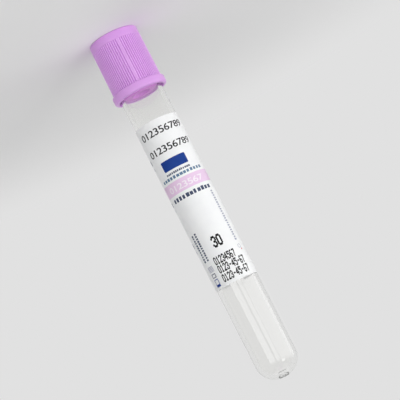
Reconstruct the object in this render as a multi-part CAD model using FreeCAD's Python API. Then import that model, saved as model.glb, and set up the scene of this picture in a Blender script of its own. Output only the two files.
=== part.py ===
import FreeCAD, Part
import math
import os

# Evacuated blood collection tube, 13 x 100 mm, standing upside down on its closure.
# Millimetres. The origin is the centre of the closure's flat end face. +Z runs up the
# axis, from that face to the tube's round end, and -Y is the middle of the label's front.

# Tube: clear moulded barrel, tapered by its draft, with a round end and a gate mark
TUBE_LENGTH = 100.0
TUBE_MOUTH_RADIUS = 6.55
TUBE_END_RADIUS = 6.23
BORE_MOUTH_RADIUS = 5.42
BORE_END_RADIUS = 5.02
TUBE_FLOOR = 1.4
TUBE_TIP_FLAT = 0.54
BORE_TIP_FLAT = 0.45
MOUTH_ROUND = 0.25
GATE_RECESS_RADIUS = 1.5
GATE_RECESS_DEPTH = 0.6
GATE_NUB_RADIUS = 0.45
GATE_NUB_HEIGHT = 0.3

# Stopper: rubber head held in the cap, flange on the tube's mouth, plug in its bore
HEAD_HEIGHT = 8.6
PLUG_LENGTH = 9.05
PLUG_TIP_ROUND = 0.6
PLUG_RELIEF = 0.14
SEAL_CLEARANCE = 0.05
SEAL_COUNT = 2
SEAL_WIDTH = 1.3
SEAL_FLANK = 0.3
WELL_MOUTH_RADIUS = 3.55
WELL_FLOOR_RADIUS = 3.15
WELL_DEPTH = 3.6
WELL_ROUND = 0.6
CAVITY_MOUTH_RADIUS = 2.8
CAVITY_FLOOR_RADIUS = 2.2
CAVITY_DEPTH = 7.2
CAVITY_ROUND = 1.4

# Cap: ribbed shell around the stopper and the tube's mouth, with a collar at its open end
CAP_LENGTH = 19.05
CAP_END_THICKNESS = 1.3
CAP_END_WALL = 0.65
CAP_SKIRT_WALL = 0.78
CAP_EDGE_ROUND = 0.5
CAP_TUBE_GAP = 0.3
CAP_STOPPER_GAP = 0.05
PORT_RADIUS = 4.3
PORT_CHAMFER = 0.3
COLLAR_LENGTH = 2.6
COLLAR_PROUD = 0.62
COLLAR_FLANK = 0.15
COLLAR_UPPER_ROUND = 0.5
COLLAR_EDGE_ROUND = 0.8
LEAD_IN_LENGTH = 2.0
LEAD_IN_WIDTH = 0.3
RING_HEIGHT = 1.0
RING_REACH = 0.45
RING_FLANK = 0.3
RING_FROM_END = 5.2

# Grip ribs: narrow grooves between flush crests, with two broad lands across the cap
RIB_PITCHES = 72
LAND_COUNT = 2
LAND_AZIMUTH = 262.2
PLAIN_BAND = 2.6
GROOVE_WIDTH = 0.4
GROOVE_FLOOR_WIDTH = 0.18
GROOVE_DEPTH = 0.28
GROOVE_INTO_COLLAR = 0.15

# Label: sticker round the barrel, with a lengthwise window at the back
LABEL_LENGTH = 51.5
LABEL_FROM_MOUTH = 18.6
LABEL_THICKNESS = 0.1
LABEL_ADHESIVE = 0.02
LABEL_WINDOW = 5.5
LABEL_WINDOW_AZIMUTH = 90.0

mouth_z = CAP_END_THICKNESS + HEAD_HEIGHT
tip_z = mouth_z + TUBE_LENGTH
floor_z = tip_z - TUBE_FLOOR
plug_tip_z = mouth_z + PLUG_LENGTH
collar_z = CAP_LENGTH - COLLAR_LENGTH

cap_bore = TUBE_MOUTH_RADIUS + CAP_TUBE_GAP
cap_end_radius = cap_bore + CAP_END_WALL
cap_skirt_radius = cap_bore + CAP_SKIRT_WALL
ring_bore = cap_bore - RING_REACH

AXIS_FOOT = FreeCAD.Vector(0, 0, 0)
AXIS_UP = FreeCAD.Vector(0, 0, 1)


def between(z, z_low, value_low, z_high, value_high):
    """Value at z on the straight line through two heights."""
    return value_low + (value_high - value_low) * (z - z_low) / (z_high - z_low)


def barrel_radius(z):
    """Outer radius of the tube's tapered barrel."""
    return between(z, mouth_z, TUBE_MOUTH_RADIUS, tip_z, TUBE_END_RADIUS)


def bore_radius(z):
    """Radius of the tube's tapered bore."""
    return between(z, mouth_z, BORE_MOUTH_RADIUS, floor_z, BORE_END_RADIUS)


def shell_radius(z):
    """Outer radius of the cap between its end face and its collar."""
    return between(z, 0.0, cap_end_radius, collar_z, cap_skirt_radius)


def rounding(before, corner, after, radius):
    """Tangent arc of this radius in a corner: its first, middle and last points."""
    back = (before - corner).normalize()
    ahead = (after - corner).normalize()
    half_angle = back.getAngle(ahead) / 2
    setback = radius / math.tan(half_angle)
    inward = (back + ahead).normalize()
    first = corner + back * setback
    middle = corner + inward * (radius / math.sin(half_angle) - radius)
    last = corner + ahead * setback
    return first, middle, last


def path(corners):
    """Edges through (radius, z) or (radius, z, rounding) corners of a half section."""
    points = [FreeCAD.Vector(corner[0], 0, corner[1]) for corner in corners]
    edges = []
    start = points[0]
    for index in range(1, len(points) - 1):
        if len(corners[index]) == 3:
            first, middle, last = rounding(*points[index - 1:index + 2], corners[index][2])
            edges.append(Part.LineSegment(start, first).toShape())
            edges.append(Part.Arc(first, middle, last).toShape())
            start = last
        else:
            edges.append(Part.LineSegment(start, points[index]).toShape())
            start = points[index]
    edges.append(Part.LineSegment(start, points[-1]).toShape())
    return edges


def turned(edges, sweep=360.0):
    """Solid made by turning a closed half section about the axis."""
    return Part.Face(Part.Wire(edges)).revolve(AXIS_FOOT, AXIS_UP, sweep)


def tube():
    """Barrel with its bore, and the recess round the gate mark in its tip."""
    recess_z = tip_z - GATE_RECESS_DEPTH
    nub_z = recess_z + GATE_NUB_HEIGHT
    end_radius = barrel_radius(tip_z)
    bore_end = bore_radius(floor_z)
    recess = path([
        (0, nub_z),
        (GATE_NUB_RADIUS, nub_z),
        (GATE_NUB_RADIUS, recess_z),
        (GATE_RECESS_RADIUS, recess_z),
        (GATE_RECESS_RADIUS, tip_z + GATE_RECESS_DEPTH),
        (0, tip_z + GATE_RECESS_DEPTH),
        (0, nub_z),
    ])
    barrel = path([
        (0, tip_z),
        (end_radius, tip_z, end_radius - TUBE_TIP_FLAT),
        (TUBE_MOUTH_RADIUS, mouth_z, MOUTH_ROUND),
        (BORE_MOUTH_RADIUS, mouth_z, MOUTH_ROUND),
        (bore_end, floor_z, bore_end - BORE_TIP_FLAT),
        (0, floor_z),
        (0, tip_z),
    ])
    return turned(barrel).cut(turned(recess))


def seal_corners():
    """Corners of the plug's outside: raised sealing rings over a relieved shank."""
    pitch = PLUG_LENGTH / (SEAL_COUNT + 1)
    corners = [(bore_radius(mouth_z) - PLUG_RELIEF, mouth_z)]
    for index in range(SEAL_COUNT):
        middle = mouth_z + pitch * (index + 1)
        for reach, clearance in (
            (-SEAL_WIDTH / 2 - SEAL_FLANK, PLUG_RELIEF),
            (-SEAL_WIDTH / 2, SEAL_CLEARANCE),
            (SEAL_WIDTH / 2, SEAL_CLEARANCE),
            (SEAL_WIDTH / 2 + SEAL_FLANK, PLUG_RELIEF),
        ):
            z = middle + reach
            corners.append((bore_radius(z) - clearance, z))
    return corners


def stopper():
    """Rubber stopper, with a needle well in its head and a cavity in its plug."""
    head_radius = cap_bore - CAP_STOPPER_GAP
    neck_radius = ring_bore - CAP_STOPPER_GAP
    neck_low = RING_FROM_END - CAP_STOPPER_GAP
    neck_high = RING_FROM_END + RING_HEIGHT + CAP_STOPPER_GAP
    well_z = CAP_END_THICKNESS + WELL_DEPTH
    cavity_z = plug_tip_z - CAVITY_DEPTH
    section = path([
        (0, well_z),
        (WELL_FLOOR_RADIUS, well_z, WELL_ROUND),
        (WELL_MOUTH_RADIUS, CAP_END_THICKNESS),
        (head_radius, CAP_END_THICKNESS),
        (head_radius, neck_low - RING_FLANK),
        (neck_radius, neck_low),
        (neck_radius, neck_high),
        (head_radius, neck_high + RING_FLANK),
        (head_radius, mouth_z),
        *seal_corners(),
        (bore_radius(plug_tip_z) - PLUG_RELIEF, plug_tip_z, PLUG_TIP_ROUND),
        (CAVITY_MOUTH_RADIUS, plug_tip_z),
        (CAVITY_FLOOR_RADIUS, cavity_z, CAVITY_ROUND),
        (0, cavity_z),
        (0, well_z),
    ])
    return turned(section)


def cap_shell():
    """Cap before its grooves are cut, from the needle port round to the port again."""
    lead_in_z = CAP_LENGTH - LEAD_IN_LENGTH
    ring_high = RING_FROM_END + RING_HEIGHT
    collar_radius = cap_skirt_radius + COLLAR_PROUD
    section = path([
        (PORT_RADIUS + PORT_CHAMFER, 0),
        (cap_end_radius, 0, CAP_EDGE_ROUND),
        (cap_skirt_radius, collar_z),
        (collar_radius, collar_z + COLLAR_FLANK, COLLAR_UPPER_ROUND),
        (collar_radius, CAP_LENGTH, COLLAR_EDGE_ROUND),
        (cap_bore + LEAD_IN_WIDTH, CAP_LENGTH),
        (cap_bore, lead_in_z),
        (cap_bore, ring_high + RING_FLANK),
        (ring_bore, ring_high),
        (ring_bore, RING_FROM_END),
        (cap_bore, RING_FROM_END - RING_FLANK),
        (cap_bore, CAP_END_THICKNESS),
        (PORT_RADIUS, CAP_END_THICKNESS),
        (PORT_RADIUS, PORT_CHAMFER),
        (PORT_RADIUS + PORT_CHAMFER, 0),
    ])
    return turned(section)


def groove():
    """Cutter for one grip groove at azimuth 0, following the shell's draft."""
    low = FreeCAD.Vector(shell_radius(PLAIN_BAND), 0, PLAIN_BAND)
    high_z = collar_z + GROOVE_INTO_COLLAR
    high = FreeCAD.Vector(shell_radius(high_z), 0, high_z)
    half_floor = GROOVE_FLOOR_WIDTH / 2
    half_width = GROOVE_WIDTH / 2
    past_collar = 2 * COLLAR_PROUD
    outline = [
        (-GROOVE_DEPTH, -half_floor),
        (0, -half_width),
        (past_collar, -half_width),
        (past_collar, half_width),
        (0, half_width),
        (-GROOVE_DEPTH, half_floor),
        (-GROOVE_DEPTH, -half_floor),
    ]
    points = [low + FreeCAD.Vector(reach, side, 0) for reach, side in outline]
    return Part.Face(Part.makePolygon(points)).extrude(high - low)


def cap():
    """Cap shell with its grip grooves: a land stands where a groove is left out."""
    lands = [round(land * RIB_PITCHES / LAND_COUNT) for land in range(LAND_COUNT)]
    cutter = groove()
    grooves = []
    for index in range(RIB_PITCHES):
        if index not in lands:
            azimuth = LAND_AZIMUTH + index * 360.0 / RIB_PITCHES
            grooves.append(cutter.rotated(AXIS_FOOT, AXIS_UP, azimuth))
    return cap_shell().cut(Part.makeCompound(grooves))


def label():
    """Sticker: a thin skin that follows the barrel's taper, open at its window."""
    low_z = mouth_z + LABEL_FROM_MOUTH
    high_z = low_z + LABEL_LENGTH
    inner = LABEL_ADHESIVE
    outer = LABEL_ADHESIVE + LABEL_THICKNESS
    section = path([
        (barrel_radius(low_z) + inner, low_z),
        (barrel_radius(low_z) + outer, low_z),
        (barrel_radius(high_z) + outer, high_z),
        (barrel_radius(high_z) + inner, high_z),
        (barrel_radius(low_z) + inner, low_z),
    ])
    window = math.degrees(LABEL_WINDOW / barrel_radius(low_z))
    skin = turned(section, 360.0 - window)
    return skin.rotated(AXIS_FOOT, AXIS_UP, LABEL_WINDOW_AZIMUTH + window / 2)


PIECES = {
    "cap": cap,
    "stopper": stopper,
    "tube": tube,
    "label": label,
}

os.makedirs("parts", exist_ok=True)
for name, make in PIECES.items():
    solid = make()
    print(name, "valid", solid.isValid(), "solids", len(solid.Solids), "mm3", round(solid.Volume, 2))
    solid.exportStep("parts/" + name + ".step")
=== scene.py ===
import math
import random

import bpy
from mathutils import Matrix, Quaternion, Vector
from mathutils.geometry import delaunay_2d_cdt


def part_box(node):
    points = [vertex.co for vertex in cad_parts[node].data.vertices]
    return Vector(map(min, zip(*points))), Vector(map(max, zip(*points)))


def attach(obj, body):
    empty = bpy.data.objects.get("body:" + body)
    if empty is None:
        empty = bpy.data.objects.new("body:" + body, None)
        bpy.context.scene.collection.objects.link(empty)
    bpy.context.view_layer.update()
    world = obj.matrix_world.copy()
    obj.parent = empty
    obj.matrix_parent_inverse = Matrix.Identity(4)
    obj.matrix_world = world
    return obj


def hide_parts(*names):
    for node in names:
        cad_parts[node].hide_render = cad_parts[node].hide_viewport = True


# A closed blood collection tube standing upside down on its ribbed cap.
# The frame is in metres. Lengths here are in millimetres, and MM turns them into metres.
# +Z runs from the cap's end face to the tube's round end, and -Y is the label's front.
MM = 0.001

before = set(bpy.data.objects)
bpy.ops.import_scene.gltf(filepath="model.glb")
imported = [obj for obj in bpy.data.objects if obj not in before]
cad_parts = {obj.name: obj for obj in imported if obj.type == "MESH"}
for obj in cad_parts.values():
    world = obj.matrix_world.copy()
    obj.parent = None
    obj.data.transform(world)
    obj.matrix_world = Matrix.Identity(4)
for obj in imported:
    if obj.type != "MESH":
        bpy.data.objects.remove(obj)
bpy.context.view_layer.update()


def box_mm(node):
    """Lowest and highest corner of a CAD node, in millimetres."""
    low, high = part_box(node)
    return low / MM, high / MM


CAP_BOX = box_mm("cap")
STOPPER_BOX = box_mm("stopper")
TUBE_BOX = box_mm("tube")
LABEL_BOX = box_mm("label")

# Heights along the axis, from the frame
TUBE_LENGTH = 100.0
MOUTH_Z = TUBE_BOX[0].z
TIP_Z = MOUTH_Z + TUBE_LENGTH
CAP_Z = CAP_BOX[1].z
PLUG_TIP_Z = STOPPER_BOX[1].z
LABEL_Z = LABEL_BOX[0].z
LABEL_LENGTH = LABEL_BOX[1].z - LABEL_BOX[0].z

# Tube
TUBE_FLOOR = 1.4
FLOOR_Z = TIP_Z - TUBE_FLOOR
MOUTH_RADIUS = TUBE_BOX[1].x
END_RADIUS = 6.23
BORE_MOUTH_RADIUS = 5.42
BORE_END_RADIUS = 5.02
TIP_FLAT = 0.54
BORE_TIP_FLAT = 0.45
MOUTH_ROUND = 0.25
GATE_RECESS_RADIUS = 1.5
GATE_RECESS_DEPTH = 0.6
GATE_NUB_RADIUS = 0.45
GATE_NUB_HEIGHT = 0.3
GATE_LIP_WIDTH = 0.15
GATE_LIP_DROP = 0.08
TUBE_SEGMENTS = 160
DOME_STEPS = 22

# Stopper: the cap's inner ring sits in the neck between its head and its flange
HEAD_RADIUS = STOPPER_BOX[1].x
WELL_DEPTH = 3.6
WELL_FLOOR_RADIUS = 3.15
WELL_MOUTH_RADIUS = 3.55
WELL_ROUND = 0.6
WELL_LIP_ROUND = 0.25
NECK_DEPTH = 0.45
NECK_EDGES = (4.85, 5.15, 6.25, 6.55)
PLUG_RELIEF = 0.14
PLUG_TIP_ROUND = 0.6
SEAL_CLEARANCE = 0.05
SEAL_REACH = (0.65, 0.95)
CAVITY_DEPTH = 7.2
CAVITY_MOUTH_RADIUS = 2.8
CAVITY_FLOOR_RADIUS = 2.2
CAVITY_ROUND = 1.4
CAVITY_LIP_ROUND = 0.2
STOPPER_SEGMENTS = 96

# Cap
CAP_STOPPER_GAP = 0.05
CAP_BORE = HEAD_RADIUS + CAP_STOPPER_GAP
SHELL_END_RADIUS = 7.5
SHELL_SKIRT_RADIUS = 7.63
SHELL_EDGE_ROUND = 0.5
SHELL_RINGS = 12
COLLAR_LENGTH = 2.6
COLLAR_Z = CAP_Z - COLLAR_LENGTH
COLLAR_RADIUS = CAP_BOX[1].x
COLLAR_FLANK = 0.15
COLLAR_ROUNDS = (0.5, 0.8)
LEAD_IN_LENGTH = 2.0
LEAD_IN_WIDTH = 0.3
LEAD_IN_EDGE = 0.04
RING_REACH = 0.45
RING_EDGES = (4.9, 5.2, 6.2, 6.5)
END_PLATE = STOPPER_BOX[0].z
PORT_RADIUS = 4.3
PORT_CHAMFER = 0.3

# Grip ribs: shares of the groove's depth by distance from its middle, and by height
RIB_PITCHES = 72
LAND_COUNT = 2
LAND_AZIMUTH = 262.2
GROOVE_LOW_Z = 2.6
GROOVE_INTO_COLLAR = 0.15
GROOVE_HIGH_Z = COLLAR_Z + GROOVE_INTO_COLLAR
GROOVE_DEPTH = 0.28
CREST_SHARE = 0.01
# Faces shallower than CREST_LIMIT of the groove's depth get the crests' painted highlight,
# deeper ones the grooves' painted shade
CREST_LIMIT = 0.2
GROOVE_SECTION = ((0.09, 1.0), (0.14, 0.6), (0.185, 0.15), (0.22, 0.03), (0.26, CREST_SHARE))
GROOVE_RUN_IN = ((-0.05, 0.0), (0.0, 0.12), (0.06, 0.9), (0.14, 1.0))

# Label
LABEL_PROUD = 0.12
LABEL_THICKNESS = 0.1
WINDOW = 5.5
PRINT_RADIUS = 6.42
SHEET_COLUMNS = 120


# ---------------------------------------------------------------- shaders

# The part of a noise texture's range that nearly all of it lies in
NOISE_LOW, NOISE_HIGH = 0.3, 0.7


def linear(red, green, blue):
    """Linear colour of an 8-bit screen colour."""
    def channel(value):
        share = value / 255
        return share / 12.92 if share <= 0.04045 else ((share + 0.055) / 1.055) ** 2.4
    return (channel(red), channel(green), channel(blue), 1.0)


class Shader:
    """A material's node tree with a few short ways to build it."""

    def __init__(self, name):
        self.material = bpy.data.materials.new(name)
        self.material.use_nodes = True
        self.nodes = self.material.node_tree.nodes
        self.links = self.material.node_tree.links
        self.surface = self.nodes["Principled BSDF"]
        self.output = self.nodes["Material Output"]

    def node(self, kind, **settings):
        """A new node, with its own attributes or its inputs set by name."""
        made = self.nodes.new(kind)
        for key, value in settings.items():
            if hasattr(made, key):
                setattr(made, key, value)
            else:
                made.inputs[key.replace("_", " ")].default_value = value
        return made

    def set(self, **inputs):
        """Values that are the same all over, set on the shader's own sockets."""
        for key, value in inputs.items():
            self.surface.inputs[key.replace("_", " ")].default_value = value

    def noise(self, size, detail=2.0, stretch=(1.0, 1.0, 1.0)):
        """Noise with features of this size in mm; stretch squeezes it along an axis."""
        place = self.node("ShaderNodeTexCoord")
        mapping = self.node("ShaderNodeMapping")
        mapping.inputs["Scale"].default_value = [part / (size * MM) for part in stretch]
        texture = self.node("ShaderNodeTexNoise", Scale=1.0, Detail=detail)
        self.links.new(place.outputs["Object"], mapping.inputs["Vector"])
        self.links.new(mapping.outputs["Vector"], texture.inputs["Vector"])
        return texture.outputs["Fac"]

    def between(self, factor, low, high):
        """A value that runs from low to high as the noise does."""
        ranged = self.node("ShaderNodeMapRange")
        limits = {"From Min": NOISE_LOW, "From Max": NOISE_HIGH, "To Min": low, "To Max": high}
        for name, value in limits.items():
            ranged.inputs[name].default_value = value
        self.links.new(factor, ranged.inputs["Value"])
        return ranged.outputs["Result"]

    def mottle(self, factor, first, second):
        """Base colour that drifts between two colours."""
        ramp = self.node("ShaderNodeValToRGB")
        ramp.color_ramp.elements[0].position = NOISE_LOW
        ramp.color_ramp.elements[0].color = first
        ramp.color_ramp.elements[1].position = NOISE_HIGH
        ramp.color_ramp.elements[1].color = second
        self.links.new(factor, ramp.inputs["Fac"])
        self.links.new(ramp.outputs["Color"], self.surface.inputs["Base Color"])

    def roughen(self, factor, low, high):
        """Roughness that drifts between two values."""
        self.links.new(self.between(factor, low, high), self.surface.inputs["Roughness"])

    def bump(self, factor, depth):
        """Relief of this depth in mm."""
        relief = self.node("ShaderNodeBump", Strength=1.0, Distance=depth * MM)
        self.links.new(factor, relief.inputs["Height"])
        self.links.new(relief.outputs["Normal"], self.surface.inputs["Normal"])

    def let_light_through(self, share, tint):
        """Lamps, and light that has already been scattered, pass through by this share."""
        path = self.node("ShaderNodeLightPath")
        lighting = self.node("ShaderNodeMath", operation="MAXIMUM")
        passing = self.node("ShaderNodeMath", operation="MULTIPLY")
        passing.inputs[1].default_value = share
        open_path = self.node("ShaderNodeBsdfTransparent", Color=tint)
        mix = self.node("ShaderNodeMixShader")
        self.links.new(path.outputs["Is Shadow Ray"], lighting.inputs[0])
        self.links.new(path.outputs["Is Diffuse Ray"], lighting.inputs[1])
        self.links.new(lighting.outputs[0], passing.inputs[0])
        self.links.new(passing.outputs[0], mix.inputs["Fac"])
        self.links.new(self.surface.outputs["BSDF"], mix.inputs[1])
        self.links.new(open_path.outputs["BSDF"], mix.inputs[2])
        self.links.new(mix.outputs["Shader"], self.output.inputs["Surface"])


def cap_plastic(name, *colours):
    """Lavender moulded plastic with a fine satin grain."""
    shader = Shader(name)
    shader.mottle(shader.noise(6.0), *colours)
    shader.roughen(shader.noise(0.8, 3.0), 0.3, 0.42)
    shader.bump(shader.noise(0.12, 2.0), 0.006)
    shader.set(IOR=1.52)
    return shader.material


def stopper_rubber():
    """Dull purple rubber."""
    shader = Shader("stopper_rubber")
    shader.mottle(shader.noise(1.5), linear(235, 149, 241), linear(238, 155, 244))
    shader.roughen(shader.noise(0.5, 3.0), 0.55, 0.75)
    shader.bump(shader.noise(0.2, 3.0), 0.012)
    return shader.material


def clear_plastic(name, smoothest, roughest):
    """Clear moulded PET, with faint drag lines along the barrel; lamps shine through it."""
    shader = Shader(name)
    shader.set(Base_Color=linear(252, 252, 251), IOR=1.57, Transmission_Weight=1.0)
    shader.roughen(shader.noise(4.0, 2.0, (1.0, 1.0, 0.1)), smoothest, roughest)
    shader.bump(shader.noise(4.0, 1.0, (1.0, 1.0, 0.03)), 0.002)
    shader.let_light_through(1.0, (0.97, 0.972, 0.975, 1.0))
    return shader.material


def label_paper(name, first, second):
    """Smooth coated paper; the inks are the same paper in other colours."""
    shader = Shader(name)
    shader.mottle(shader.noise(3.0), first, second)
    shader.roughen(shader.noise(0.4, 3.0), 0.38, 0.5)
    shader.bump(shader.noise(0.15, 3.0), 0.004)
    shader.set(Specular_IOR_Level=0.2)
    shader.let_light_through(0.4, (1.0, 1.0, 1.0, 1.0))
    return shader.material


# ---------------------------------------------------------------- meshes

def between(z, z_low, value_low, z_high, value_high):
    """Value at z on the straight line through two heights."""
    return value_low + (value_high - value_low) * (z - z_low) / (z_high - z_low)


def barrel_radius(z):
    """Outer radius of the tube's tapered barrel."""
    return between(z, MOUTH_Z, MOUTH_RADIUS, TIP_Z, END_RADIUS)


def bore_radius(z):
    """Radius of the tube's tapered bore."""
    return between(z, MOUTH_Z, BORE_MOUTH_RADIUS, FLOOR_Z, BORE_END_RADIUS)


def shell_radius(z):
    """Outer radius of the cap between its end face and its collar."""
    return between(z, 0.0, SHELL_END_RADIUS, COLLAR_Z, SHELL_SKIRT_RADIUS)


def outline(corners, steps=6):
    """Points of a half section through (radius, z) or (radius, z, rounding) corners."""
    places = [Vector(corner[:2]) for corner in corners]
    points = []
    for index, place in enumerate(places):
        if len(corners[index]) == 2:
            points.append(place)
            continue
        back = (places[index - 1] - place).normalized()
        ahead = (places[index + 1] - place).normalized()
        half_angle = back.angle(ahead) / 2
        radius = corners[index][2]
        centre = place + (back + ahead).normalized() * (radius / math.sin(half_angle))
        first = place + back * (radius / math.tan(half_angle)) - centre
        last = place + ahead * (radius / math.tan(half_angle)) - centre
        sweep = first.angle_signed(last)
        turns = max(2, round(steps * abs(sweep) / (math.pi / 2)))
        for step in range(turns + 1):
            angle = -sweep * step / turns
            turned = Vector((
                first.x * math.cos(angle) - first.y * math.sin(angle),
                first.x * math.sin(angle) + first.y * math.cos(angle),
            ))
            points.append(centre + turned)
    return points


def add_piece(name, points, faces, materials, sharp_degrees=40.0):
    """A new mesh object from points in millimetres, smooth but for its sharp edges."""
    mesh = bpy.data.meshes.new(name)
    mesh.from_pydata([Vector(point) * MM for point in points], [], faces)
    for material in materials:
        mesh.materials.append(material)
    mesh.shade_smooth()
    mesh.set_sharp_from_angle(angle=math.radians(sharp_degrees))
    made = bpy.data.objects.new(name, mesh)
    bpy.context.scene.collection.objects.link(made)
    return made


def lathe(name, points, segments, material):
    """Solid turned from a half section that starts and ends on the axis."""
    inner = points[1:-1]
    verts = [(0, 0, points[0].y)]
    for point in inner:
        for segment in range(segments):
            angle = 2 * math.pi * segment / segments
            verts.append((point.x * math.cos(angle), point.x * math.sin(angle), point.y))
    verts.append((0, 0, points[-1].y))
    faces = []
    last_ring = 1 + (len(inner) - 1) * segments
    for segment in range(segments):
        following = (segment + 1) % segments
        faces.append((0, 1 + segment, 1 + following))
        for ring in range(len(inner) - 1):
            low = 1 + ring * segments
            high = low + segments
            faces.append((low + segment, high + segment, high + following, low + following))
        faces.append((last_ring + following, last_ring + segment, len(verts) - 1))
    return add_piece(name, verts, faces, [material])


# ---------------------------------------------------------------- tube and stopper

def clear_tube(outside, inside):
    """Barrel with its bore, its round end and the recess round the gate mark."""
    recess_z = TIP_Z - GATE_RECESS_DEPTH
    nub_z = recess_z + GATE_NUB_HEIGHT
    lip_z = TIP_Z - GATE_LIP_DROP
    lip_radius = GATE_RECESS_RADIUS + GATE_LIP_WIDTH
    shoulder_z = MOUTH_Z + 2.0
    end_radius = barrel_radius(TIP_Z)
    bore_end = bore_radius(FLOOR_Z)
    dome = outline([
        (0, TIP_Z),
        (end_radius, TIP_Z, end_radius - TIP_FLAT),
        (MOUTH_RADIUS, MOUTH_Z),
    ], DOME_STEPS)
    rim = next(index for index, point in enumerate(dome) if point.x > lip_radius)
    gate = outline([
        (0, nub_z),
        (GATE_NUB_RADIUS, nub_z, 0.12),
        (GATE_NUB_RADIUS, recess_z, 0.08),
        (GATE_RECESS_RADIUS, recess_z, 0.15),
        (GATE_RECESS_RADIUS, lip_z, 0.08),
        (lip_radius, lip_z),
    ], 4)
    mouth = outline([
        (barrel_radius(shoulder_z), shoulder_z),
        (MOUTH_RADIUS, MOUTH_Z, MOUTH_ROUND),
        (BORE_MOUTH_RADIUS, MOUTH_Z, MOUTH_ROUND),
        (bore_end, FLOOR_Z, bore_end - BORE_TIP_FLAT),
        (0, FLOOR_Z),
    ], DOME_STEPS)
    made = lathe("clear_tube", gate + dome[rim:-1] + mouth, TUBE_SEGMENTS, outside)
    made.data.materials.append(inside)
    for polygon in made.data.polygons:
        across = polygon.center.xy.length / MM
        z = polygon.center.z / MM
        widest = min(BORE_MOUTH_RADIUS + 0.01, bore_radius(z) + 0.05)
        if z < FLOOR_Z + 0.01 and across < widest:
            polygon.material_index = 1
    return made


def rubber_stopper(material):
    """Head with its needle well, flange on the tube's mouth, and plug with its cavity."""
    neck_radius = HEAD_RADIUS - NECK_DEPTH
    well_z = END_PLATE + WELL_DEPTH
    cavity_z = PLUG_TIP_Z - CAVITY_DEPTH
    near, far = SEAL_REACH
    seal = [(-far, PLUG_RELIEF), (-near, SEAL_CLEARANCE)]
    seal += [(near, SEAL_CLEARANCE), (far, PLUG_RELIEF)]
    plug = [(bore_radius(MOUTH_Z) - PLUG_RELIEF, MOUTH_Z)]
    pitch = (PLUG_TIP_Z - MOUTH_Z) / 3
    for middle in (MOUTH_Z + pitch, MOUTH_Z + 2 * pitch):
        for reach, clearance in seal:
            z = middle + reach
            plug.append((bore_radius(z) - clearance, z, 0.1))
    corners = [
        (0, well_z),
        (WELL_FLOOR_RADIUS, well_z, WELL_ROUND),
        (WELL_MOUTH_RADIUS, END_PLATE, WELL_LIP_ROUND),
        (HEAD_RADIUS, END_PLATE, 0.15),
        (HEAD_RADIUS, NECK_EDGES[0]),
        (neck_radius, NECK_EDGES[1], 0.1),
        (neck_radius, NECK_EDGES[2], 0.1),
        (HEAD_RADIUS, NECK_EDGES[3]),
        (HEAD_RADIUS, MOUTH_Z, 0.1),
        *plug,
        (bore_radius(PLUG_TIP_Z) - PLUG_RELIEF, PLUG_TIP_Z, PLUG_TIP_ROUND),
        (CAVITY_MOUTH_RADIUS, PLUG_TIP_Z, CAVITY_LIP_ROUND),
        (CAVITY_FLOOR_RADIUS, cavity_z, CAVITY_ROUND),
        (0, cavity_z),
    ]
    return lathe("rubber_stopper", outline(corners, 5), STOPPER_SEGMENTS, material)


# ---------------------------------------------------------------- cap

def groove_samples():
    """(azimuth in radians, share of the groove's depth) all round the cap; a land has none."""
    section = [(-offset, share) for offset, share in reversed(GROOVE_SECTION)]
    section += [(0.0, 1.0), *GROOVE_SECTION]
    lands = [round(land * RIB_PITCHES / LAND_COUNT) for land in range(LAND_COUNT)]
    pitch = 2 * math.pi / RIB_PITCHES
    samples = []
    for index in range(RIB_PITCHES):
        middle = math.radians(LAND_AZIMUTH) + index * pitch
        samples.append((middle - pitch / 2, CREST_SHARE))
        for offset, share in section:
            azimuth = middle + offset / SHELL_END_RADIUS
            samples.append((azimuth, 0.0 if index in lands else share))
    return samples


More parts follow.
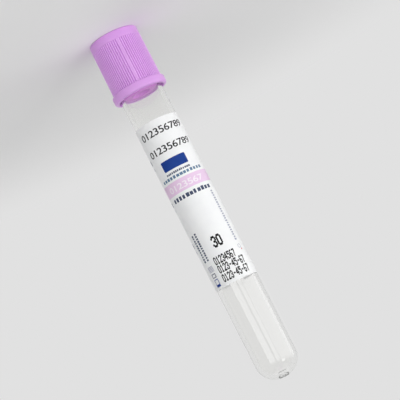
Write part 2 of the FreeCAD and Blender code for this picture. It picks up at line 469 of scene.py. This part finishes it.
def cap_rings():
    """(radius, z, grooved) rings of the cap, from its port round the outside to the port."""
    plain_z = GROOVE_LOW_Z - 0.25
    lead_in_z = CAP_Z - LEAD_IN_LENGTH
    foot = outline([
        (PORT_RADIUS + PORT_CHAMFER, 0.0),
        (SHELL_END_RADIUS, 0.0, SHELL_EDGE_ROUND),
        (shell_radius(plain_z), plain_z),
    ], 7)
    rings = [(point.x, point.y, 0.0) for point in foot[1:]]
    for rise, grooved in GROOVE_RUN_IN:
        rings.append((shell_radius(GROOVE_LOW_Z + rise), GROOVE_LOW_Z + rise, grooved))
    full_z = GROOVE_LOW_Z + GROOVE_RUN_IN[-1][0]
    for step in range(1, SHELL_RINGS):
        z = between(step, 0, full_z, SHELL_RINGS, COLLAR_Z)
        rings.append((shell_radius(z), z, 1.0))
    collar = outline([
        (SHELL_SKIRT_RADIUS, COLLAR_Z),
        (COLLAR_RADIUS, COLLAR_Z + COLLAR_FLANK, COLLAR_ROUNDS[0]),
        (COLLAR_RADIUS, CAP_Z, COLLAR_ROUNDS[1]),
        (CAP_BORE + LEAD_IN_WIDTH, CAP_Z, LEAD_IN_EDGE),
        (CAP_BORE, lead_in_z),
    ], 9)
    for below, above in zip(collar, collar[1:]):
        grooved = 1.0 if below.y < GROOVE_HIGH_Z else 0.0
        rings.append((below.x, below.y, grooved))
        if grooved and above.y >= GROOVE_HIGH_Z:
            end = below.lerp(above, (GROOVE_HIGH_Z - below.y) / (above.y - below.y))
            rings.append((end.x, end.y, 0.9))
            rings.append((end.x, end.y + 0.01, 0.1))
    ring_bore = CAP_BORE - RING_REACH
    inside = outline([
        (CAP_BORE + LEAD_IN_WIDTH, CAP_Z),
        (CAP_BORE, lead_in_z, 0.5),
        (CAP_BORE, RING_EDGES[3], 0.1),
        (ring_bore, RING_EDGES[2], 0.1),
        (ring_bore, RING_EDGES[1], 0.1),
        (CAP_BORE, RING_EDGES[0], 0.1),
        (CAP_BORE, END_PLATE, 0.2),
        (PORT_RADIUS, END_PLATE),
        (PORT_RADIUS, PORT_CHAMFER, 0.1),
        (PORT_RADIUS + PORT_CHAMFER, 0.0, 0.1),
        (PORT_RADIUS + 2 * PORT_CHAMFER, 0.0),
    ], 3)
    rings += [(point.x, point.y, 0.0) for point in inside[1:-1]]
    return rings


# Slots of the cap: plain plastic, crests painted lighter as highlight, grooves painted darker as
# shade
PLAIN_SLOT, CREST_HIGHLIGHT_SLOT, GROOVE_SHADE_SLOT = range(3)


def rib_slot(grooved, share):
    """Plain, crest (painted highlight) or groove (painted shade) colour, by groove share at ring
    and side.
    """
    if grooved <= 0.5 or share <= 0.0:
        return PLAIN_SLOT
    return CREST_HIGHLIGHT_SLOT if share < CREST_LIMIT else GROOVE_SHADE_SLOT


def ribbed_cap(materials):
    """Shell with grooves between flush crests, broad lands and a rounded collar; its crests
    carry a painted highlight and its grooves a painted shade.
    """
    samples = groove_samples()
    rings = cap_rings()
    verts = []
    for radius, z, grooved in rings:
        floor = shell_radius(z) - GROOVE_DEPTH
        for azimuth, share in samples:
            depth = share * grooved
            reach = radius - depth * (radius - floor) if depth else radius
            verts.append((reach * math.cos(azimuth), reach * math.sin(azimuth), z))
    around = len(samples)
    faces = []
    slots = []
    for ring in range(len(rings)):
        low = ring * around
        high = (ring + 1) % len(rings) * around
        for index in range(around):
            following = (index + 1) % around
            faces.append((low + index, low + following, high + following, high + index))
            share = max(samples[index][1], samples[following][1])
            slots.append(rib_slot(rings[ring][2], share))
    made = add_piece("ribbed_cap", verts, faces, materials)
    made.data.polygons.foreach_set("material_index", slots)
    return made


# ---------------------------------------------------------------- label and its print

PAPER, BAND, PALE, BLACK, NAVY, BLUE, SLATE, GREY, RED = range(9)
BLOCK_SEED = 13
NUMERAL_WEIGHT = 0.012
NUMERAL_SPACING = 0.94
SMALLEST_SLIVER = 1e-5

# Inkjet numerals, as five columns by seven rows of dots that overlap a little
DOT_ROWS = 7
DOT_COLUMNS_PER_PITCH = 6.2
DOT_SHARES = (1.08, 0.8)
DOT_FONT = {
    "0": ".###. #...# #...# #...# #...# #...# .###.",
    "1": "..#.. .##.. ..#.. ..#.. ..#.. ..#.. .###.",
    "2": ".###. #...# ....# ...#. ..#.. .#... #####",
    "3": ".###. #...# ....# ..##. ....# #...# .###.",
    "4": "...#. ..##. .#.#. #..#. ##### ...#. ...#.",
    "5": "##### #.... ####. ....# ....# #...# .###.",
    "6": ".###. #.... #.... ####. #...# #...# .###.",
    "7": "##### ....# ...#. ...#. ..#.. ..#.. ..#..",
    "8": ".###. #...# #...# .###. #...# #...# .###.",
    "9": ".###. #...# #...# .#### ....# ....# .###.",
    "-": "..... ..... ..... .###. ..... ..... .....",
}


class Print:
    """Flat artwork in millimetres: across runs right from the front, down from the top."""

    def __init__(self):
        self.shapes = []
        self.chance = random.Random(BLOCK_SEED)

    def shape(self, ink, points):
        """A filled outline; a later shape covers an earlier one."""
        self.shapes.append((ink, points))

    def bar(self, ink, left, top, right, bottom):
        """Filled rectangle."""
        self.shape(ink, [(left, top), (right, top), (right, bottom), (left, bottom)])

    def frame(self, ink, left, top, right, bottom, line):
        """Outline of a rectangle."""
        self.bar(ink, left, top, right, top + line)
        self.bar(ink, left, bottom - line, right, bottom)
        self.bar(ink, left, top + line, left + line, bottom - line)
        self.bar(ink, right - line, top + line, right, bottom - line)

    def disc(self, ink, across, down, half_width, half_height, corners):
        """Filled ellipse."""
        turns = [2 * math.pi * (corner + 0.5) / corners for corner in range(corners)]
        self.shape(ink, [
            (across + half_width * math.cos(turn), down + half_height * math.sin(turn))
            for turn in turns
        ])

    def pill(self, ink, left, top, right, bottom, rounding):
        """Rectangle with rounded corners."""
        points = []
        corners = ((right, bottom, 0), (left, bottom, 90), (left, top, 180), (right, top, 270))
        for across, down, start in corners:
            middle_across = across + (rounding if across == left else -rounding)
            middle_down = down + (rounding if down == top else -rounding)
            for step in range(5):
                turn = math.radians(start + 22.5 * step)
                points.append((
                    middle_across + rounding * math.cos(turn),
                    middle_down + rounding * math.sin(turn),
                ))
        self.shape(ink, points)

    def digits(self, ink, text, left, top, right, bottom):
        """Plain sans numerals stretched to fill a box."""
        curve = bpy.data.curves.new("numerals", "FONT")
        curve.body = text
        curve.resolution_u = 4
        curve.offset = NUMERAL_WEIGHT
        curve.space_character = NUMERAL_SPACING
        typed = bpy.data.objects.new("numerals", curve)
        bpy.context.scene.collection.objects.link(typed)
        mesh = bpy.data.meshes.new_from_object(typed)
        across = [vert.co.x for vert in mesh.vertices]
        down = [vert.co.y for vert in mesh.vertices]
        for polygon in mesh.polygons:
            if polygon.area < SMALLEST_SLIVER:
                continue
            self.shape(ink, [
                (
                    between(across[index], min(across), left, max(across), right),
                    between(down[index], max(down), top, min(down), bottom),
                )
                for index in reversed(polygon.vertices)
            ])
        bpy.data.meshes.remove(mesh)
        bpy.data.objects.remove(typed)
        bpy.data.curves.remove(curve)

    def dot_digits(self, text, left, top, pitch, height):
        """Inkjet numerals of tall dots."""
        row_pitch = height / DOT_ROWS
        column_pitch = pitch / DOT_COLUMNS_PER_PITCH
        half_width, half_height = column_pitch * DOT_SHARES[0], row_pitch * DOT_SHARES[1]
        for place, letter in enumerate(text):
            for row, line in enumerate(DOT_FONT[letter].split()):
                for column, mark in enumerate(line):
                    if mark == "#":
                        across = left + place * pitch + (column + 0.5) * column_pitch
                        down = top + (row + 0.5) * row_pitch
                        self.disc(BLACK, across, down, half_width, half_height, 8)

    def blocks(self, ink, left, top, right, bottom, pitch, lengthwise=False):
        """A line of print too small to read, as a row of plain blocks."""
        start, end = (top, bottom) if lengthwise else (left, right)
        count = round((end - start) / pitch)
        for index in range(count):
            low = between(index, 0, start, count, end)
            high = low + pitch * self.chance.uniform(0.6, 0.85)
            inset = self.chance.uniform(0.0, 0.2)
            if lengthwise:
                self.bar(ink, left + inset * (right - left), low, right, high)
            else:
                self.bar(ink, low, top + inset * (bottom - top), high, bottom)


def artwork():
    """The label's print: plain numbers, a coloured band, and blocks in place of words."""
    print_ = Print()
    half_turn = math.radians(360 - math.degrees(WINDOW / MOUTH_RADIUS)) / 2
    half_width = half_turn * PRINT_RADIUS
    print_.bar(PAPER, -half_width, 0.0, half_width, LABEL_LENGTH)
    print_.digits(BLACK, "012356789", -6.7, 2.25, 7.7, 4.35)
    print_.digits(BLACK, "012356789", -6.7, 7.7, 7.7, 9.8)
    print_.pill(NAVY, -4.4, 12.0, 3.4, 15.1, 0.3)
    print_.blocks(SLATE, -4.3, 15.75, 3.3, 16.4, 0.6)
    print_.blocks(BLUE, -7.0, 16.8, 7.0, 17.75, 1.07)
    print_.bar(BAND, -half_width, 18.4, half_width, 22.0)
    print_.digits(PALE, "0123567", -6.1, 19.45, 5.4, 21.3)
    print_.blocks(SLATE, -6.4, 22.85, 6.7, 24.15, 1.19)
    print_.blocks(GREY, 5.6, 25.0, 6.5, 41.1, 0.72, True)
    print_.disc(GREY, 6.1, 42.8, 0.62, 0.62, 16)
    print_.disc(PAPER, 6.1, 42.8, 0.46, 0.46, 16)
    print_.disc(RED, 6.6, 43.8, 0.25, 0.25, 12)
    print_.blocks(SLATE, -6.8, 34.4, -5.95, 43.1, 0.72, True)
    print_.blocks(SLATE, -5.4, 34.2, -4.6, 43.1, 0.72, True)
    for step in range(5):
        print_.bar(GREY, -6.8, 44.5 + step * 0.36, -4.5, 44.68 + step * 0.36)
    print_.frame(SLATE, -6.5, 46.7, -4.8, 47.95, 0.22)
    print_.frame(NAVY, -6.5, 48.4, -4.8, 50.2, 0.22)
    print_.bar(NAVY, -6.5, 50.0, -4.8, 50.75)
    print_.dot_digits("30", -1.15, 37.3, 1.55, 3.25)
    print_.dot_digits("01234567", -3.15, 42.85, 0.84, 2.22)
    print_.dot_digits("0123-45-67", -3.15, 45.42, 0.87, 2.22)
    print_.dot_digits("0123-45-67", -3.15, 48.14, 0.87, 2.22)
    for field in range(3):
        down = 9.4 + field * 13.4
        print_.blocks(SLATE, -12.0, down, -8.3, down + 1.6, 1.2)
        print_.blocks(GREY, -12.0, down + 2.3, -8.6, down + 3.3, 0.9)
        print_.bar(GREY, -16.2, down + 3.2, -12.6, down + 3.3)
    for rule in range(6):
        print_.bar(GREY, 9.0, 8.0 + rule * 1.6, 16.0, 8.1 + rule * 1.6)
    return print_.shapes


def wrapped(place, proud):
    """Point of the flat artwork wrapped round the barrel, this proud of it."""
    turn = place.x / PRINT_RADIUS
    z = LABEL_Z + place.y
    radius = barrel_radius(z) + proud
    return (-radius * math.sin(turn), -radius * math.cos(turn), z)


def cut_sheet(shapes):
    """Points and triangles of the flat sheet cut along its print, and each one's ink."""
    flat = []
    outlines = []
    for _, points in shapes:
        outlines.append(list(range(len(flat), len(flat) + len(points))))
        flat.extend(Vector(point) for point in points)
    half_width = flat[1].x
    lines = []
    for column in range(1, SHEET_COLUMNS):
        across = between(column, 0, -half_width, SHEET_COLUMNS, half_width)
        lines.append((len(flat), len(flat) + 1))
        flat.extend((Vector((across, 0.0)), Vector((across, LABEL_LENGTH))))
    cut = delaunay_2d_cdt(flat, lines, outlines, 0, 1e-5)
    inks = [shapes[max(source)][0] if source else PAPER for source in cut[5]]
    return cut[0], cut[2], inks


def rim_edges(faces):
    """Edges of the sheet that only one face has, in that face's direction."""
    edges = set()
    for face in faces:
        for start, end in zip(face, (*face[1:], face[0])):
            if (end, start) in edges:
                edges.remove((end, start))
            else:
                edges.add((start, end))
    return sorted(edges)


def printed_label(materials, back):
    """Sticker wrapped round the barrel: the printed face, the back and the rim between."""
    flat, faces, inks = cut_sheet(artwork())
    count = len(flat)
    points = [wrapped(place, LABEL_PROUD) for place in flat]
    points += [wrapped(place, LABEL_PROUD - LABEL_THICKNESS) for place in flat]
    front = [tuple(reversed(face)) for face in faces]
    behind = [tuple(index + count for index in face) for face in faces]
    rim = [(start, end, end + count, start + count) for start, end in rim_edges(faces)]
    made = add_piece("printed_label", points, front + behind + rim, [*materials, back])
    plain = [len(materials)] * (len(behind) + len(rim))
    made.data.polygons.foreach_set("material_index", inks + plain)
    normals = []
    for polygon in made.data.polygons:
        side = 0
        if polygon.index < 2 * len(front):
            side = 1 if polygon.index < len(front) else -1
        for index in polygon.vertices:
            around = made.data.vertices[index].co.xy.normalized()
            normals.append(Vector((*around, 0.0)) * side if side else polygon.normal)
    made.data.normals_split_custom_set(normals)
    return made


# ---------------------------------------------------------------- studio
# Places, sizes and distances in the studio are in metres, as in the frame.

BACKDROP = linear(225, 225, 225)
SKY_LEVEL = 0.17
SKY_LEAN = (0.09, -0.1, 0.08)
FLOOR_FADE = (0.05, 0.2)
FLOOR_SEGMENTS = 64
LAMP_AIM = Vector((0.0, 0.0, 0.06))
PANEL_STEPS = 3
PANEL_GROWTH = 0.3
CAMERA_PLACE = Vector((0.0, -0.4078, 0.10774))
CAMERA_AIM = Vector((-0.00125, 0.0, 0.0542))
CAMERA_ROLL = 153.06
LENS = 129.15
SENSOR_WIDTH = 36.0


def plain_rays(nodes, links):
    """1 for rays that see the backdrop itself, and 0 for rays that light the object."""
    path = nodes.new("ShaderNodeLightPath")
    most = path.outputs["Is Camera Ray"]
    for name in ("Is Glossy Ray", "Is Transmission Ray"):
        either = nodes.new("ShaderNodeMath")
        either.operation = "MAXIMUM"
        links.new(most, either.inputs[0])
        links.new(path.outputs[name], either.inputs[1])
        most = either.outputs[0]
    return most


def sky_light(nodes, links):
    """Strength of the sky, which grows evenly towards one side of the studio."""
    place = nodes.new("ShaderNodeTexCoord")
    lean = nodes.new("ShaderNodeVectorMath")
    lean.operation = "DOT_PRODUCT"
    lean.inputs[1].default_value = SKY_LEAN
    level = nodes.new("ShaderNodeMath")
    level.operation = "ADD"
    level.inputs[1].default_value = SKY_LEVEL
    links.new(place.outputs["Generated"], lean.inputs[0])
    links.new(lean.outputs["Value"], level.inputs[0])
    return level.outputs["Value"]


def studio_world():
    """Soft light, stronger from one side, behind which the backdrop is plain."""
    world = bpy.data.worlds.new("studio")
    world.use_nodes = True
    nodes, links = world.node_tree.nodes, world.node_tree.links
    light = nodes["Background"]
    light.inputs["Color"].default_value = (1.0, 1.0, 1.0, 1.0)
    links.new(sky_light(nodes, links), light.inputs["Strength"])
    plain = nodes.new("ShaderNodeBackground")
    plain.inputs["Color"].default_value = BACKDROP
    mix = nodes.new("ShaderNodeMixShader")
    links.new(plain_rays(nodes, links), mix.inputs["Fac"])
    links.new(light.outputs["Background"], mix.inputs[1])
    links.new(plain.outputs["Background"], mix.inputs[2])
    links.new(mix.outputs["Shader"], nodes["World Output"].inputs["Surface"])
    bpy.context.scene.world = world


def floor_material():
    """Pale matt floor that keeps shadows and fades into the backdrop far away."""
    shader = Shader("floor")
    shader.set(Base_Color=linear(246, 246, 246), Roughness=0.9)
    far = shader.node("ShaderNodeEmission", Color=BACKDROP)
    place = shader.node("ShaderNodeTexCoord")
    distance = shader.node("ShaderNodeVectorMath", operation="LENGTH")
    fade = shader.node("ShaderNodeMapRange", interpolation_type="SMOOTHSTEP")
    fade.inputs["From Min"].default_value = FLOOR_FADE[0]
    fade.inputs["From Max"].default_value = FLOOR_FADE[1]
    seen = shader.node("ShaderNodeMath", operation="MULTIPLY")
    mix = shader.node("ShaderNodeMixShader")
    shader.links.new(place.outputs["Object"], distance.inputs[0])
    shader.links.new(distance.outputs["Value"], fade.inputs["Value"])
    shader.links.new(fade.outputs["Result"], seen.inputs[0])
    shader.links.new(plain_rays(shader.nodes, shader.links), seen.inputs[1])
    shader.links.new(seen.outputs[0], mix.inputs["Fac"])
    shader.links.new(shader.surface.outputs["BSDF"], mix.inputs[1])
    shader.links.new(far.outputs["Emission"], mix.inputs[2])
    shader.links.new(mix.outputs["Shader"], shader.output.inputs["Surface"])
    return shader.material


def studio_floor():
    """Wide flat disc under the cap."""
    points = []
    for radius in (0.0, 500.0, 4000.0):
        for segment in range(FLOOR_SEGMENTS):
            angle = 2 * math.pi * segment / FLOOR_SEGMENTS
            points.append((radius * math.cos(angle), radius * math.sin(angle), 0.0))
    faces = []
    for low in (0, FLOOR_SEGMENTS):
        high = low + FLOOR_SEGMENTS
        for segment in range(FLOOR_SEGMENTS):
            following = (segment + 1) % FLOOR_SEGMENTS
            faces.append((low + segment, high + segment, high + following, low + following))
    floor = add_piece("floor", points, faces, [floor_material()])


def lamp(name, azimuth, distance, height, size, radiance, shape="RECTANGLE", mirrored=True):
    """Soft lamp that faces the tube, this many degrees round from the front towards -X."""
    light = bpy.data.lights.new(name, "AREA")
    light.shape = shape
    light.size, light.size_y = size
    light.energy = math.pi * size[0] * size[1] * radiance
    made = bpy.data.objects.new(name, light)
    turn = math.radians(azimuth)
    made.location = (-distance * math.sin(turn), -distance * math.cos(turn), height)
    made.rotation_mode = "QUATERNION"
    made.rotation_quaternion = (LAMP_AIM - made.location).to_track_quat("-Z", "Y")
    made.visible_camera = False
    made.visible_transmission = False
    made.visible_glossy = mirrored
    bpy.context.scene.collection.objects.link(made)


def panel(name, azimuth, distance, width, low, high, radiance):
    """Standing panel of nested lamps, so that its light fades out towards the top."""
    for step in range(PANEL_STEPS):
        tall = (high - low) * (1.0 + PANEL_GROWTH * step)
        size = (width, tall)
        lamp(f"{name}_{step}", azimuth, distance, low + tall / 2, size, radiance / PANEL_STEPS)


def camera():
    """Long lens level with the round end, rolled so that the cap is at the upper left."""
    data = bpy.data.cameras.new("camera")
    data.lens = LENS
    data.sensor_width = SENSOR_WIDTH
    made = bpy.data.objects.new("camera", data)
    made.location = CAMERA_PLACE
    aim = CAMERA_AIM - CAMERA_PLACE
    roll = Quaternion((0.0, 0.0, 1.0), math.radians(CAMERA_ROLL))
    made.rotation_mode = "QUATERNION"
    made.rotation_quaternion = aim.to_track_quat("-Z", "Y") @ roll
    bpy.context.scene.collection.objects.link(made)
    bpy.context.scene.camera = made


def studio():
    """World, floor, lamps and camera. A lamp's radiance of 1 shows as white in a mirror."""
    bpy.context.scene.view_settings.view_transform = "Standard"
    studio_world()
    studio_floor()
    panel("left_panel", -20.5, 0.6, 0.333, 0.01, 0.2, 2.2)
    panel("middle_panel", 12.5, 0.6, 0.2, 0.01, 0.2, 2.2)
    panel("right_panel", 70.5, 0.5, 1.05, 0.01, 0.22, 1.9)
    lamp("high_lamp", 36.0, 0.9, 0.5, (0.32, 0.3), 2.7, "ELLIPSE")
    lamp("top_lamp", 20.0, 0.2, 1.1, (1.2, 1.2), 0.6)
    lamp("back_lamp", -150.0, 1.0, 0.45, (1.2, 0.7), 1.5, mirrored=False)
    camera()


# ---------------------------------------------------------------- assembly

def put_in(piece, body, node):
    """The piece rides on its body and stands for its CAD node."""
    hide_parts(node)
    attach(piece, body)


def inks():
    """One material for each ink, in the order of their numbers."""
    return [
        label_paper("paper", linear(241, 242, 243), linear(244, 245, 245)),
        label_paper("ink_band", linear(232, 203, 231), linear(235, 207, 234)),
        label_paper("ink_pale", linear(247, 238, 247), linear(245, 235, 245)),
        label_paper("ink_black", linear(8, 7, 8), linear(16, 14, 16)),
        label_paper("ink_navy", linear(12, 54, 136), linear(16, 62, 144)),
        label_paper("ink_blue", linear(92, 122, 150), linear(100, 130, 158)),
        label_paper("ink_slate", linear(62, 72, 98), linear(70, 80, 106)),
        label_paper("ink_grey", linear(160, 162, 180), linear(168, 170, 188)),
        label_paper("ink_red", linear(196, 84, 92), linear(204, 92, 98)),
    ]


studio()
back = label_paper("label_back", linear(249, 249, 248), linear(252, 252, 251))
# The cap's plastic, with a lighter copy on the crests as painted highlight and a darker copy in
# the grooves as painted shade
moulded = [
    cap_plastic("cap_plastic", linear(218, 158, 231), linear(222, 163, 235)),
    cap_plastic("cap_crests_painted_highlight", linear(234, 184, 245), linear(237, 189, 248)),
    cap_plastic("cap_grooves_painted_shade", linear(208, 139, 222), linear(212, 144, 226)),
]
put_in(ribbed_cap(moulded), "closure", "cap")
put_in(rubber_stopper(stopper_rubber()), "closure", "stopper")
outside = clear_plastic("clear_plastic", 0.01, 0.04)
inside = clear_plastic("clear_bore", 0.04, 0.08)
put_in(clear_tube(outside, inside), "vessel", "tube")
put_in(printed_label(inks(), back), "vessel", "label")
